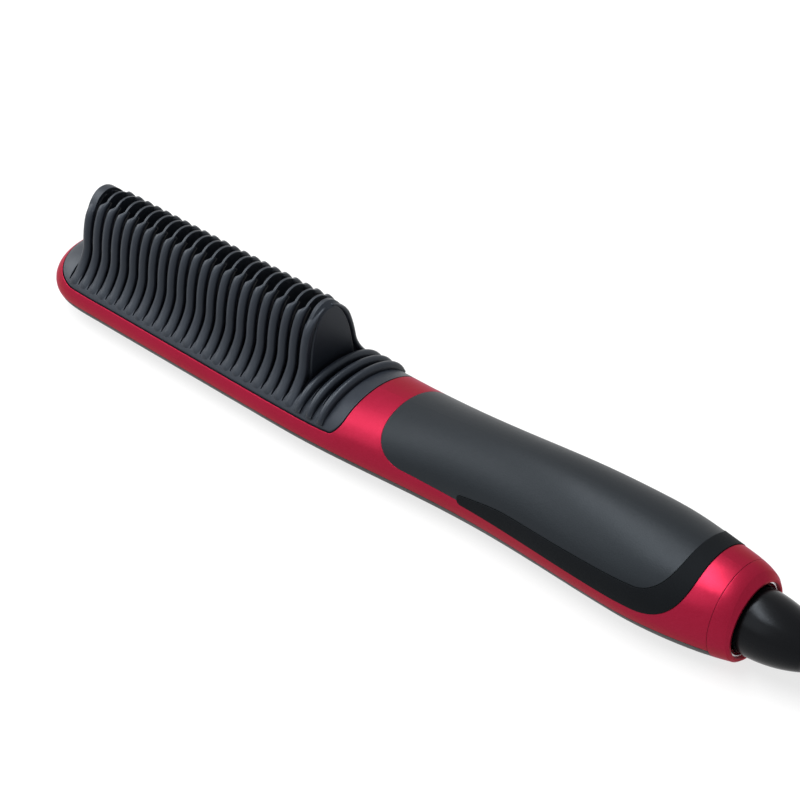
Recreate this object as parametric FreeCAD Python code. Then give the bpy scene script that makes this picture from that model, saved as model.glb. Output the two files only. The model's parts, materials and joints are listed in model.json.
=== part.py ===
import FreeCAD, Part
import math
import os

# Heated straightening comb with a swivel mains cord, lying on its back with the teeth up.
# Millimetres. X runs from the comb's tip to the cord end, Y across, Z up from the resting face.

V = FreeCAD.Vector

# Chain of lengths along X
comb_setback = 20.25
fin_count = 23
fin_pitch = 4.6
neck_length = 19.8
handle_length = 129.5
collar_length = 5.6

# Round sections of the body
head_half_width = 20.0
head_half_height = 11.9
keel_drop = 0.9
tip_round = 21.5
tip_power = 2.4
tip_angles = (15, 25, 37, 51, 67)
head_steps = 12
handle_steps = 18
blend_lead = 6.7
rise_lag = 3.3
waist_share = 0.37
waist_half_width = 16.2
bulge_share = 0.785
bulge_half_width = 18.4
crest_share = 0.64
crest_half_height = 16.1
seam_radius = 14.2
end_radius = 12.3
end_axis_z = 14.1
taper_power = 1.6
crest_power = 3
keel_power = 3

# Shells
wall = 2.6
parting_z = 8.8
seam_gap = 0.1
rim_width = 0.9
tip_rim = 4.5
ledge_z = 12.5
opening_corner = 4.0
overrun = 60.0
fit_gap = 0.12
guard_gap = 0.35

# Comb guard
guard_wall = 2.2
neck_wall = 5.0
fin_half_width = 11.2
fin_base_z = 15.3
fin_height = 29.3
fin_side_power = 2.1
fin_top_power = 2.54
plate_thickness = 0.9
bead_width = 2.8
bead_depth = 1.8
bead_proud = 0.55
bead_sink = 0.6
bead_top_z = 39.4
bead_foot_z = 16.0
flare_top_z = 25.0
flare_bend_z = 19.2
flare_half_width = 17.0
first_fin_thickness = 3.2
end_fin_thickness = 3.0
end_fin_lag = 0.6
end_slope_length = 1.7
end_slope_share = 0.84
slot_floor_z = 16.4
slot_tip_width = 0.3
slot_full_z = 20.5
groove_count = 3
groove_floor_z = 19.3
groove_full_z = 22.0
rib_rise = 1.2
rib_inset = 0.2
guard_boss_radius = 1.9
guard_boss_top_z = 17.5
tip_boss_setback = 11.75

# Heating comb and its heater
heat_plate_top_z = 15.0
heat_plate_thickness = 2.5
heat_plate_half_width = 13.5
heat_plate_lead = 3.2
heat_plate_tail = 3.0
tooth_thickness = 1.2
tooth_gap = 0.15
tooth_side_gap = 0.5
tooth_top_z = 38.5
heater_front_inset = 10.0
heater_rear_inset = 12.0
heater_half_width = 6.0
heater_thickness = 2.0
electrode_thickness = 0.3
electrode_half_width = 5.2
insulation_thickness = 0.4
tab_length = 13.0
tab_width = 3.0
tab_y = 2.6
clamp_thickness = 1.0
clamp_half_width = 6.5
clamp_overhang = 1.5
ear_reach = 4.0
ear_length = 6.0
ear_shares = (0.27, 0.77)
thermistor_radius = 1.1
thermistor_length = 6.0
thermistor_share = 0.56
thermal_fuse_radius = 1.7
thermal_fuse_length = 11.0
thermal_fuse_share = 0.355
sensor_y = 9.0
contact_gap = 0.05
shield_z = 5.6
shield_thickness = 0.4
shield_half_width = 11.0
shield_inset = 7.0
shield_post_radius = 2.0
shield_post_y = 7.0
shield_post_shares = (0.18, 0.5, 0.82)

# Screws
small_shank_radius = 1.0
small_head_radius = 2.0
small_head_height = 1.6
small_screw_reach = 4.5
comb_screw_fins = (2, 11, 20)
comb_screw_y = 11.5
clamp_screw_reach = 2.0
board_screw_reach = 5.0
case_shank_radius = 1.3
case_head_radius = 2.5
case_head_height = 1.6
case_head_seat_z = 4.6
case_screw_reach = 6.7
case_boss_radius = 3.2
neck_screw_lag = 7.5
neck_screw_y = 10.0
rear_screw_lead = 28.0
rear_screw_y = 9.0
thread_gap = 0.05
screw_gap = 0.2

# Grip panel and rubber pad, outlined in side view from the cover's rear edge
panel_depth = 1.3
panel_bed_gap = 0.1
panel_front = 11.5
panel_low_z = 15.0
panel_front_round = 13.0
pad_front = 45.5
pad_low_z = 14.0
pad_nose_top_z = 16.8
pad_nose_round = 1.3
pad_bend = 60.5
pad_bend_z = 19.3
pad_bend_round = 60.0
pad_inner_z = 20.9
pad_inner_round = 10.0
pad_outer_round = 14.0
pad_inner_lead = 12.5
pad_outer_lead = 7.2
pad_proud = 0.15

# Collar and swivel
spigot_radius = 10.6
spigot_length = 7.5
socket_radius = 9.8
mouth_radius = 11.1
mouth_depth = 4.2
collar_edge = 0.5
trim_wall = 0.6
trim_setback = 0.8
journal_radius = 6.4
journal_gap = 0.08
thrust_gap = 0.35
thrust_radius = 8.6
thrust_thickness = 3.0
boot_radius = 9.6
boot_length = 56.0
dome_length = 17.0
dome_mid_share = 0.55
dome_mid_radius = 8.6
boot_neck_radius = 6.0
sleeve_radius = 5.7
sleeve_lead = 5.0
sleeve_end_radius = 4.4
rib_count = 8
rib_share = 0.62
rib_depth = 0.7
sleeve_end_land = 3.0
cord_bore_radius = 2.9
cord_bore_depth = 26.0
ring_core_radius = 4.4
ring_core_length = 12.5
slip_ring_radius = 5.0
slip_ring_width = 2.6
slip_ring_shares = (0.28, 0.72)
brush_gap = 0.3
brush_height = 0.7
brush_half_width = 1.5
holder_half_width = 6.0
holder_length = 9.5

# Control panel on the back
control_front = 26.5
control_rear_gap = 11.65
control_half_width = 8.0
control_face_z = 0.9
control_thickness = 2.0
control_flange = 1.5
control_flange_thickness = 1.0
control_corner = 4.0
slide_gap = 0.1
button_face_z = 0.35
button_edge_round = 0.4
button_flange = 1.0
button_flange_z = 4.2
button_flange_thickness = 0.6
button_shares = {"minus": 0.470588, "plus": 0.632353, "power": 0.838235}
button_radii = {"minus": 4.0, "plus": 4.0, "power": 4.6}
display_share = 0.220588
display_length = 16.0
display_half_width = 4.5
display_corner = 1.2
lens_face_z = 1.0
lens_flange = 1.3
lens_flange_thickness = 0.7
module_gap = 0.3

# Control board and what it carries
board_front = 14.5
board_rear_gap = 9.65
board_half_width = 10.5
board_z = 9.5
board_thickness = 1.6
board_screw_inset = 6.0
board_screw_y = 7.0
board_post_radius = 2.4
switch_half_size = 3.0
switch_height = 3.5
switch_bore_depth = 2.0
plunger_radius = 1.7
plunger_gap = 0.08
plunger_tail = 0.9
terminal_length = 7.0
terminal_half_width = 4.2
terminal_height = 4.0
relay_share = 0.402439
relay_length = 15.0
relay_half_width = 5.0
relay_height = 10.0
capacitor_share = 0.670732
capacitor_length = 18.0
capacitor_radius = 5.0
choke_share = 0.243902
choke_radius = 5.0
choke_height = 8.0
lead_diameter = 1.6
lead_y = 2.6
lead_sag = 1.2
lead_end_gap = 0.2
heater_lead_shares = ((0.33, 0.3), (0.67, 1.0))
supply_lead_shares = (0.35, 0.75)
supply_lead_y = 4.0
supply_lead_z = 6.4

# Mains cord: free route, tied hank and plug
cord_diameter = 5.2
cord_route = ((187.0, 0.0, 14.1), (206.0, 0.0, 14.1), (225.0, -9.0, 8.4),
              (245.0, -20.0, 3.6), (262.5, -20.0, 3.6))
tail_route = ((334.9, -20.0, 20.55), (351.9, -20.0, 20.55), (371.9, -11.2, 14.6),
              (391.5, 0.0, 8.6), (410.5, 0.0, 8.6))
bend_share = 0.45
hank_run = 62.0
hank_layers = 4
hank_half_turns = 3
hank_step = 5.65
tie_thickness = 0.6
tie_gap = 0.2
tie_width = 10.0
tie_round = 2.8
plug_length = 48.0
plug_half_width = 22.0
plug_height = 17.0
plug_shoulder = 9.0
plug_shoulder_half_width = 13.0
plug_corner = 6.0
plug_edge_round = 2.0
plug_grip_length = 14.0
plug_grip_radius = 5.6
plug_grip_end_radius = 4.0
pin_thickness = 4.0
live_pin_width = 6.35
live_pin_height = 17.7
live_pin_y = 11.1
earth_pin_width = 8.0
earth_pin_height = 22.7
pin_rows = 22.2
live_pin_lead = 14.0
pin_chamfer = 0.9
pin_root = 6.0
fuse_cover_length = 9.0
fuse_cover_half_width = 5.2
fuse_cover_depth = 2.0
fuse_cover_lead = 22.0

# Places along X worked out from the chain
comb_length = (fin_count - 1) * fin_pitch
body_length = comb_setback + comb_length + neck_length + handle_length + collar_length
tip_x = -body_length / 2
first_fin_x = tip_x + comb_setback
end_fin_x = first_fin_x + comb_length
cover_end_x = end_fin_x + neck_length
swivel_length = ring_core_length + thrust_thickness + thrust_gap + spigot_length
control_length = handle_length - control_front - control_rear_gap - swivel_length
board_length = handle_length - board_front - board_rear_gap - swivel_length
seam_x = cover_end_x + handle_length
end_x = seam_x + collar_length
round_x = tip_x + tip_round
blend_x = end_fin_x - blend_lead
rise_x = end_fin_x + rise_lag
waist_x = cover_end_x + waist_share * handle_length
bulge_x = cover_end_x + bulge_share * handle_length
crest_x = cover_end_x + crest_share * handle_length
head_axis_z = head_half_height - keel_drop
end_keel = end_axis_z - end_radius
high_z = 2 * crest_half_height + overrun
slot_width = fin_pitch - bead_width
heat_plate_z = heat_plate_top_z - heat_plate_thickness
heat_front_x = first_fin_x - heat_plate_lead
heat_rear_x = end_fin_x - heat_plate_tail
board_x = cover_end_x + board_front
board_top_z = board_z + board_thickness
boot_end_x = end_x + boot_length
cord_radius = cord_diameter / 2


def share(value, low, high):
    return (value - low) / (high - low)


def ease(part):
    return part * part * (3 - 2 * part)


def between(first, last, part):
    return first + (last - first) * part


def half_width(x):
    if x <= blend_x:
        return head_half_width
    if x <= waist_x:
        return between(head_half_width, waist_half_width, ease(share(x, blend_x, waist_x)))
    if x <= bulge_x:
        return between(waist_half_width, bulge_half_width, ease(share(x, waist_x, bulge_x)))
    if x <= seam_x:
        return between(bulge_half_width, seam_radius, share(x, bulge_x, seam_x) ** taper_power)
    return between(seam_radius, end_radius, share(x, seam_x, end_x))


def half_height(x):
    if x <= rise_x:
        return head_half_height
    if x <= crest_x:
        return between(head_half_height, crest_half_height, ease(share(x, rise_x, crest_x)))
    if x <= seam_x:
        return between(crest_half_height, seam_radius, share(x, crest_x, seam_x) ** crest_power)
    return between(seam_radius, end_radius, share(x, seam_x, end_x))


def axis_z(x):
    keel = -keel_drop
    if x > bulge_x:
        keel = between(-keel_drop, end_keel, share(x, bulge_x, end_x) ** keel_power)
    return keel + half_height(x)


def ring(x, across, up, middle_z):
    """Elliptical section in two halves that meet at the crown and the keel."""
    place = FreeCAD.Matrix(0, 0, 1, x, across, 0, 0, 0, 0, up, 0, middle_z, 0, 0, 0, 1)
    halves = [Part.makeCircle(1, V(0, 0, 0), V(0, 0, 1), start, start + 180) for start in (-90, 90)]
    return Part.Wire([half.transformGeometry(place).Edges[0] for half in halves])


head_stations = [between(round_x, blend_x, i / head_steps) for i in range(head_steps + 1)]
handle_stations = [between(blend_x, seam_x, i / handle_steps) for i in range(1, handle_steps + 1)]
stations = head_stations + handle_stations + [end_x]


def tip_curve(angle):
    """Unit outline of the rounded tip: distance along and half width out."""
    along = math.cos(math.radians(angle)) ** (2 / tip_power)
    out = math.sin(math.radians(angle)) ** (2 / tip_power)
    return along, out


def envelope(inset):
    """The body's outer form, drawn in by inset."""
    wires = []
    farthest = tip_curve(tip_angles[0])[0]
    for angle in tip_angles:
        along, out = tip_curve(angle)
        x = round_x - (tip_round - inset) * along / farthest
        wires.append(ring(x, (head_half_width - inset) * out, (head_half_height - inset) * out, head_axis_z))
    for x in stations:
        wires.append(ring(x, half_width(x) - inset, half_height(x) - inset, axis_z(x)))
    return Part.makeLoft(wires, True)


def block(x0, x1, y0, y1, z0, z1):
    return Part.makeBox(x1 - x0, y1 - y0, z1 - z0, V(x0, y0, z0))


def slab(x0, x1, z0, z1):
    return block(x0, x1, -overrun, overrun, z0, z1)


def post(x, y, z0, z1, radius):
    return Part.makeCylinder(radius, z1 - z0, V(x, y, z0))


def rod(x0, x1, y, z, radius):
    return Part.makeCylinder(radius, x1 - x0, V(x0, y, z), V(1, 0, 0))


def tangent_arc(before, at, after, radius):
    """Start, middle and end of the arc that rounds the corner at a point."""
    back = (before - at).normalize()
    forward = (after - at).normalize()
    half = back.getAngle(forward) / 2
    cut = radius / math.tan(half)
    middle = (back + forward).normalize() * (radius / math.sin(half) - radius)
    return at + back * cut, at + middle, at + forward * cut


def outline(points, radii):
    """Closed wire of straight lines with rounded corners."""
    arcs = []
    count = len(points)
    for i, radius in enumerate(radii):
        if radius:
            arcs.append(tangent_arc(points[i - 1], points[i], points[(i + 1) % count], radius))
        else:
            arcs.append((points[i], None, points[i]))
    edges = []
    for i, (start, middle, end) in enumerate(arcs):
        if middle:
            edges.append(Part.Arc(start, middle, end).toShape())
        edges.append(Part.makeLine(end, arcs[(i + 1) % count][0]))
    return Part.Wire(edges)


def rounded_box(x0, x1, y0, y1, z0, z1, radius):
    corners = [V(x0, y0, z0), V(x1, y0, z0), V(x1, y1, z0), V(x0, y1, z0)]
    return Part.Face(outline(corners, [radius] * 4)).extrude(V(0, 0, z1 - z0))


def side_prism(wire, grow):
    """Side-view outline pushed through the whole width."""
    face = Part.Face(wire)
    if grow:
        face = face.makeOffset2D(grow)
    face.translate(V(0, -overrun, 0))
    return face.extrude(V(0, 2 * overrun, 0))


def open_path(points, radii):
    edges = []
    at = points[0]
    for i, radius in enumerate(radii, 1):
        start, middle, end = tangent_arc(points[i - 1], points[i], points[i + 1], radius)
        edges.append(Part.makeLine(at, start))
        edges.append(Part.Arc(start, middle, end).toShape())
        at = end
    edges.append(Part.makeLine(at, points[-1]))
    return Part.Wire(edges)


def route_radii(points):
    """The largest even bend that fits at each point of a cord's route."""
    radii = []
    for before, at, after in zip(points, points[1:], points[2:]):
        half_turn = (at - before).getAngle(after - at) / 2
        shorter = min(at.distanceToPoint(before), at.distanceToPoint(after))
        radii.append(bend_share * shorter / math.tan(half_turn))
    return radii


def tube(path, diameter):
    first = path.OrderedEdges[0]
    start = first.valueAt(first.FirstParameter)
    heading = first.tangentAt(first.FirstParameter)
    section = Part.Wire(Part.makeCircle(diameter / 2, start, heading))
    return path.makePipeShell([section], True, False)


def cord(name, route, diameter):
    points = [V(*p) for p in route]
    radii = route_radii(points)
    path = open_path(points, radii)
    solid = tube(path, diameter)
    swept = math.pi * diameter ** 2 / 4 * path.Length
    print(name, "length %.1f" % path.Length, "volume ratio %.4f" % (solid.Volume / swept))
    print(name, "radii", [round(r) for r in radii])
    return solid


os.makedirs("parts", exist_ok=True)


def save(name, shape):
    solids = shape.Solids
    if not shape.isValid():
        print("invalid", name)
    if len(solids) == 1:
        shape = solids[0]
    shape.exportStep("parts/%s.step" % name)
    print(name, len(solids), "solids, volume %.1f" % shape.Volume)


full_form = envelope(0)
shell = full_form.cut(envelope(wall))


# Openings shared by the frame, the guard and the grip pieces
def opening_prism(inset, z):
    """Plan outline of the comb opening, from the rounded tip to the neck."""
    side = []
    corner_x = cover_end_x - inset - opening_corner
    for x in [corner_x] + [between(corner_x, round_x, i / 9) for i in range(1, 10)]:
        side.append(V(x, half_width(x) - rim_width - inset, z))
    tip_length = tip_round - tip_rim - inset
    tip_width = head_half_width - rim_width - inset
    for angle in range(80, 0, -10):
        along, out = tip_curve(angle)
        side.append(V(round_x - tip_length * along, tip_width * out, z))
    far = [V(p.x, -p.y, p.z) for p in reversed(side)]
    points = side + [V(round_x - tip_length, 0, z)] + far
    curve = Part.BSplineCurve()
    curve.interpolate(points)
    rear_x = cover_end_x - inset
    width = side[0].y
    slant = opening_corner * (1 - math.sqrt(0.5))
    near = V(rear_x, opening_corner - width, z)
    away = V(rear_x, width - opening_corner, z)
    near_arc = Part.Arc(points[-1], V(rear_x - slant, slant - width, z), near)
    far_arc = Part.Arc(away, V(rear_x - slant, width - slant, z), points[0])
    rear = Part.makeLine(near, away)
    wire = Part.Wire([curve.toShape(), near_arc.toShape(), rear, far_arc.toShape()])
    return Part.Face(wire).extrude(V(0, 0, overrun))


def side_points(pairs):
    return [V(cover_end_x + x, 0, z) for x, z in pairs]


pad_outer = handle_length - pad_outer_lead
pad_inner = handle_length - pad_inner_lead
pad_middle = (pad_outer + pad_inner) / 2
panel_wire = outline(
    side_points([(panel_front, high_z), (panel_front, panel_low_z),
                 (pad_middle, panel_low_z), (pad_middle, high_z)]),
    [0, panel_front_round, (pad_inner_round + pad_outer_round) / 2, 0])
pad_wire = outline(
    side_points([(pad_front, pad_low_z), (pad_outer, pad_low_z), (pad_outer, high_z), (pad_inner, high_z),
                 (pad_inner, pad_inner_z), (pad_bend, pad_bend_z), (pad_front, pad_nose_top_z)]),
    [pad_nose_round, pad_outer_round, 0, 0, pad_inner_round, pad_bend_round, pad_nose_round])

case_screws = [(tip_x + tip_boss_setback, 0)]
for side in (-1, 1):
    case_screws.append((cover_end_x + neck_screw_lag, side * neck_screw_y))
    case_screws.append((seam_x - rear_screw_lead, side * rear_screw_y))
case_top_z = parting_z + case_screw_reach
control_x = cover_end_x + control_front
control_top_z = control_face_z + control_thickness
flange_top_z = control_top_z + control_flange_thickness
panel_places = {name: control_x + part * control_length for name, part in button_shares.items()}


def control_form(grow, z0, z1):
    half = control_half_width + grow
    x0 = control_x - grow
    x1 = control_x + control_length + grow
    return rounded_box(x0, x1, -half, half, z0, z1, control_corner + grow)


def back_cover():
    cover = shell.common(slab(tip_x - overrun, seam_x, 0, parting_z - seam_gap))
    inner = envelope(wall / 2)
    posts = []
    for x, y in case_screws:
        posts.append(post(x, y, 0, parting_z - seam_gap, case_boss_radius).common(inner))
    for part in shield_post_shares:
        x = between(heat_front_x, heat_rear_x, part)
        for side in (-1, 1):
            posts.append(post(x, side * shield_post_y, 0, shield_z, shield_post_radius).common(inner))
    cover = cover.multiFuse(posts)
    cuts = []
    for x, y in case_screws:
        cuts.append(post(x, y, -overrun, parting_z, case_shank_radius + screw_gap))
        cuts.append(post(x, y, -overrun, case_head_seat_z, case_head_radius + screw_gap))
    cuts.append(control_form(fit_gap, -overrun, parting_z))
    cuts.append(control_form(control_flange + fit_gap, control_top_z - seam_gap, parting_z))
    return cover.cut(cuts)


def front_frame():
    frame = shell.common(slab(tip_x - overrun, seam_x, parting_z, high_z))
    frame = frame.cut(opening_prism(0, ledge_z))
    bed = full_form.cut(envelope(panel_depth + panel_bed_gap))
    for wire in (panel_wire, pad_wire):
        frame = frame.cut(bed.common(side_prism(wire, fit_gap)))
    posts = []
    inner = envelope((wall + panel_depth) / 2)
    for x, y in case_screws[1:]:
        posts.append(post(x, y, parting_z, high_z, case_boss_radius).common(inner))
    for x, y in board_screw_places():
        posts.append(post(x, y, board_top_z, high_z, board_post_radius).common(inner))
    frame = frame.multiFuse(posts)
    cuts = []
    for x, y in case_screws[1:]:
        cuts.append(post(x, y, 0, case_top_z + screw_gap, case_shank_radius + thread_gap))
    for x, y in board_screw_places():
        depth_z = board_top_z + board_screw_reach + screw_gap
        cuts.append(post(x, y, 0, depth_z, small_shank_radius + thread_gap))
    return frame.cut(cuts)


def board_screw_places():
    ends = (board_x + board_screw_inset, board_x + board_length - board_screw_inset)
    return [(x, side * board_screw_y) for x in ends for side in (-1, 1)]


# The bell-shaped fins
def bell_point(angle, half, height, x):
    across = math.cos(math.radians(angle))
    up = math.sin(math.radians(angle))
    y = math.copysign(half * abs(across) ** (2 / fin_side_power), across)
    return V(x, y, fin_base_z + height * abs(up) ** (2 / fin_top_power))


def bell_face(x, half, height):
    points = [bell_point(180 * i / 20, half, height, x) for i in range(21)]
    curve = Part.BSplineCurve()
    curve.interpolate(points)
    return Part.Face(Part.Wire([curve.toShape(), Part.makeLine(points[-1], points[0])]))


def bell_half_width(z):
    part = share(z, fin_base_z, fin_base_z + fin_height)
    return fin_half_width * (1 - part ** fin_top_power) ** (1 / fin_side_power)


def flare_foot_z():
    return head_axis_z + head_half_height * math.sqrt(1 - (flare_half_width / head_half_width) ** 2)


def bead_face(x):
    """Side strip of a fin: follows the bell, then flares out to the skirt."""
    heights = [between(bead_top_z, flare_top_z, i / 5) for i in range(6)]
    outer = [V(x, bell_half_width(z), z) for z in heights]
    inner = [V(x, p.y - bead_depth, p.z) for p in outer]
    outer_curve = Part.BSplineCurve()
    outer_curve.interpolate(outer)
    inner_curve = Part.BSplineCurve()
    inner_curve.interpolate(inner)
    toe = V(x, flare_half_width, flare_foot_z() - bead_sink)
    flare = Part.BezierCurve()
    flare.setPoles([outer[-1], V(x, fin_half_width, flare_bend_z), toe])
    heel = V(x, flare_half_width - bead_depth, bead_foot_z)
    root = V(x, inner[-1].y, bead_foot_z)
    edges = [outer_curve.toShape(), flare.toShape(), Part.makeLine(toe, heel), Part.makeLine(heel, root)]
    edges += [Part.makeLine(root, inner[-1]), inner_curve.toShape(), Part.makeLine(inner[0], outer[0])]
    return Part.Face(Part.Wire(Part.__sortEdges__(edges)))


def slot(x, floor_z, full_z):
    """Slot across the comb that narrows to a point at its floor."""
    tip = slot_tip_width / 2
    half = slot_width / 2
    corners = [V(x - tip, 0, floor_z), V(x + tip, 0, floor_z), V(x + half, 0, full_z)]
    corners += [V(x + half, 0, high_z), V(x - half, 0, high_z), V(x - half, 0, full_z)]
    return side_prism(outline(corners, [0] * 6), 0)


def comb_guard():
    base = full_form.common(opening_prism(guard_gap, ledge_z + seam_gap))
    split_x = end_fin_x + end_fin_lag - end_fin_thickness
    base = base.cut(envelope(guard_wall).common(slab(tip_x, split_x, 0, high_z)))
    base = base.cut(envelope(neck_wall).common(slab(split_x, cover_end_x + overrun, 0, high_z)))
    window_half = fin_half_width - bead_depth
    cuts = [block(first_fin_x, split_x, -window_half, window_half, 0, high_z)]
    for i in range(-1, fin_count - 1):
        x = first_fin_x + i * fin_pitch + slot_width / 2
        if i < 0:
            x = first_fin_x - first_fin_thickness - slot_width / 2
        cuts.append(slot(x, slot_floor_z, slot_full_z))
    for i in range(groove_count):
        cuts.append(slot(end_fin_x + i * fin_pitch + slot_width / 2, groove_floor_z, groove_full_z))
    base = base.cut(cuts)
    pieces = []
    strip = bead_face(-bead_width).extrude(V(bead_width, 0, 0))
    for i in range(fin_count):
        x = first_fin_x + i * fin_pitch
        if i == fin_count - 1:
            pieces.append(end_plate())
        else:
            thickness = plate_thickness if i else first_fin_thickness
            plate = bell_face(x - thickness, fin_half_width - bead_proud, fin_height)
            pieces.append(plate.extrude(V(thickness, 0, 0)))
        for side in (-1, 1):
            one = strip.copy()
            if side < 0:
                one = one.mirror(V(0, 0, 0), V(0, 1, 0))
            one.translate(V(x, 0, 0))
            pieces.append(one)
    for x, y in comb_screw_places():
        pieces.append(post(x, y, heat_plate_top_z, guard_boss_top_z, guard_boss_radius))
    tip_boss = post(tip_x + tip_boss_setback, 0, parting_z, high_z, case_boss_radius)
    pieces.append(tip_boss.common(envelope(guard_wall / 2)))
    guard = base.multiFuse(pieces + neck_ribs())
    holes = []
    for x, y in comb_screw_places():
        holes.append(post(x, y, 0, heat_plate_top_z + small_screw_reach - heat_plate_thickness + screw_gap,
                          small_shank_radius + thread_gap))
    x, y = case_screws[0]
    holes.append(post(x, y, 0, case_top_z + screw_gap, case_shank_radius + thread_gap))
    return guard.cut(holes)


def end_plate():
    """Last fin: a broad plate whose rear face slopes in all round."""
    x = end_fin_x + end_fin_lag
    half = fin_half_width - bead_proud
    flat = end_fin_thickness - end_slope_length
    plate = bell_face(x - end_fin_thickness, half, fin_height).extrude(V(flat, 0, 0))
    rims = [bell_face(x - end_slope_length, half, fin_height)]
    rims.append(bell_face(x, half * end_slope_share, fin_height - half * (1 - end_slope_share)))
    return plate.fuse(Part.makeLoft([rim.OuterWire for rim in rims], True, True))


def neck_ribs():
    """Low ribs across the neck behind the end plate, between its grooves."""
    lifted = full_form.copy()
    lifted.translate(V(0, 0, rib_rise))
    cap = lifted.common(opening_prism(guard_gap, slot_floor_z)).cut(envelope(neck_wall / 2))
    ribs = []
    for i in range(groove_count):
        x = end_fin_x + i * fin_pitch + slot_width
        ribs.append(cap.common(slab(x + rib_inset, x + bead_width - rib_inset, 0, high_z)))
    return ribs


def comb_screw_places():
    places = []
    for i in comb_screw_fins:
        x = first_fin_x + i * fin_pitch - bead_width / 2
        places += [(x, comb_screw_y), (x, -comb_screw_y)]
    return places


# Heating comb and the heater stack below it
heater_x0 = heat_front_x + heater_front_inset
heater_x1 = heat_rear_x - heater_rear_inset
upper_electrode_z = heat_plate_z - insulation_thickness - electrode_thickness
heater_z = upper_electrode_z - heater_thickness
lower_electrode_z = heater_z - electrode_thickness
mica_z = lower_electrode_z - insulation_thickness
clamp_z = mica_z - clamp_thickness
tab_end_x = heater_x1 + tab_length


def heating_comb():
    plate = block(heat_front_x, heat_rear_x, -heat_plate_half_width, heat_plate_half_width,
                  heat_plate_z, heat_plate_top_z)
    teeth = []
    half = fin_half_width - bead_depth - tooth_side_gap
    for i in range(1, fin_count - 1):
        x = first_fin_x + i * fin_pitch - plate_thickness - tooth_gap - tooth_thickness
        tooth = bell_face(x, half, tooth_top_z - fin_base_z).extrude(V(tooth_thickness, 0, 0))
        foot = block(x, x + tooth_thickness, -half, half, heat_plate_z, fin_base_z)
        teeth += [tooth, foot]
    plate = plate.multiFuse(teeth)
    holes = []
    for x, y in comb_screw_places():
        holes.append(post(x, y, 0, heat_plate_top_z, small_shank_radius + screw_gap))
    for x, y in ear_places():
        holes.append(post(x, y, 0, heat_plate_top_z, small_shank_radius + thread_gap))
    return plate.cut(holes)


def ear_places():
    y = clamp_half_width + ear_reach / 2
    return [(between(heater_x0, heater_x1, part), side * y) for part in ear_shares for side in (-1, 1)]


def electrode(z, y):
    top_z = z + electrode_thickness
    strip = block(heater_x0, heater_x1, -electrode_half_width, electrode_half_width, z, top_z)
    tab = block(heater_x1, tab_end_x, y - tab_width / 2, y + tab_width / 2, z, top_z)
    return strip.fuse(tab).removeSplitter()


def heater_clamp():
    bar = block(heater_x0 - clamp_overhang, heater_x1 + clamp_overhang, -clamp_half_width, clamp_half_width,
                clamp_z, mica_z)
    ears = []
    for x, y in ear_places():
        half = ear_reach / 2
        ears.append(block(x - ear_length / 2, x + ear_length / 2, y - half, y + half, clamp_z, heat_plate_z))
    bar = bar.multiFuse(ears)
    radius = small_shank_radius + screw_gap
    return bar.cut([post(x, y, 0, heat_plate_z, radius) for x, y in ear_places()])


def screw(x, y, seat_z, top_z, shank, head, head_height):
    return post(x, y, seat_z - head_height, seat_z, head).fuse(post(x, y, seat_z - head_height, top_z, shank))


def small_screws(places, seat_z, top_z):
    made = []
    for x, y in places:
        made.append(screw(x, y, seat_z, top_z, small_shank_radius, small_head_radius, small_head_height))
    return Part.makeCompound(made)


def heat_shield():
    half = shield_half_width
    return block(heat_front_x + shield_inset, heat_rear_x - shield_inset, -half, half,
                 shield_z, shield_z + shield_thickness)


# Grip
def grip_panel():
    layer = full_form.cut(envelope(panel_depth))
    return layer.common(side_prism(panel_wire, 0)).cut(side_prism(pad_wire, fit_gap))


def grip_pad():
    layer = envelope(-pad_proud).cut(envelope(panel_depth))
    return layer.common(side_prism(pad_wire, 0))


# Collar and swivel
socket_end_x = seam_x + collar_length - mouth_depth
thrust_x = seam_x - spigot_length - thrust_gap - thrust_thickness
journal_x = thrust_x + thrust_thickness


def end_collar():
    band = full_form.common(slab(seam_x + seam_gap, end_x + overrun, 0, high_z))
    mouth = end_radius - collar_edge
    start = V(seam_x, 0, end_axis_z)
    band = band.common(Part.makeCone(mouth + collar_length, mouth, collar_length, start, V(1, 0, 0)))
    band = band.fuse(rod(seam_x - spigot_length, socket_end_x, 0, end_axis_z, spigot_radius))
    band = band.cut(rod(seam_x - overrun, end_x, 0, end_axis_z, socket_radius))
    return band.cut(rod(socket_end_x, end_x + overrun, 0, end_axis_z, mouth_radius))


def collar_trim():
    sleeve = rod(socket_end_x, end_x - trim_setback, 0, end_axis_z, mouth_radius - contact_gap)
    return sleeve.cut(rod(socket_end_x - overrun, end_x + overrun, 0, end_axis_z, mouth_radius - trim_wall))


def swivel_bushing():
    radius = socket_radius - contact_gap
    sleeve = rod(seam_x - spigot_length, socket_end_x - thrust_gap, 0, end_axis_z, radius)
    return sleeve.cut(rod(seam_x - overrun, end_x + overrun, 0, end_axis_z, journal_radius + journal_gap))


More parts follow.
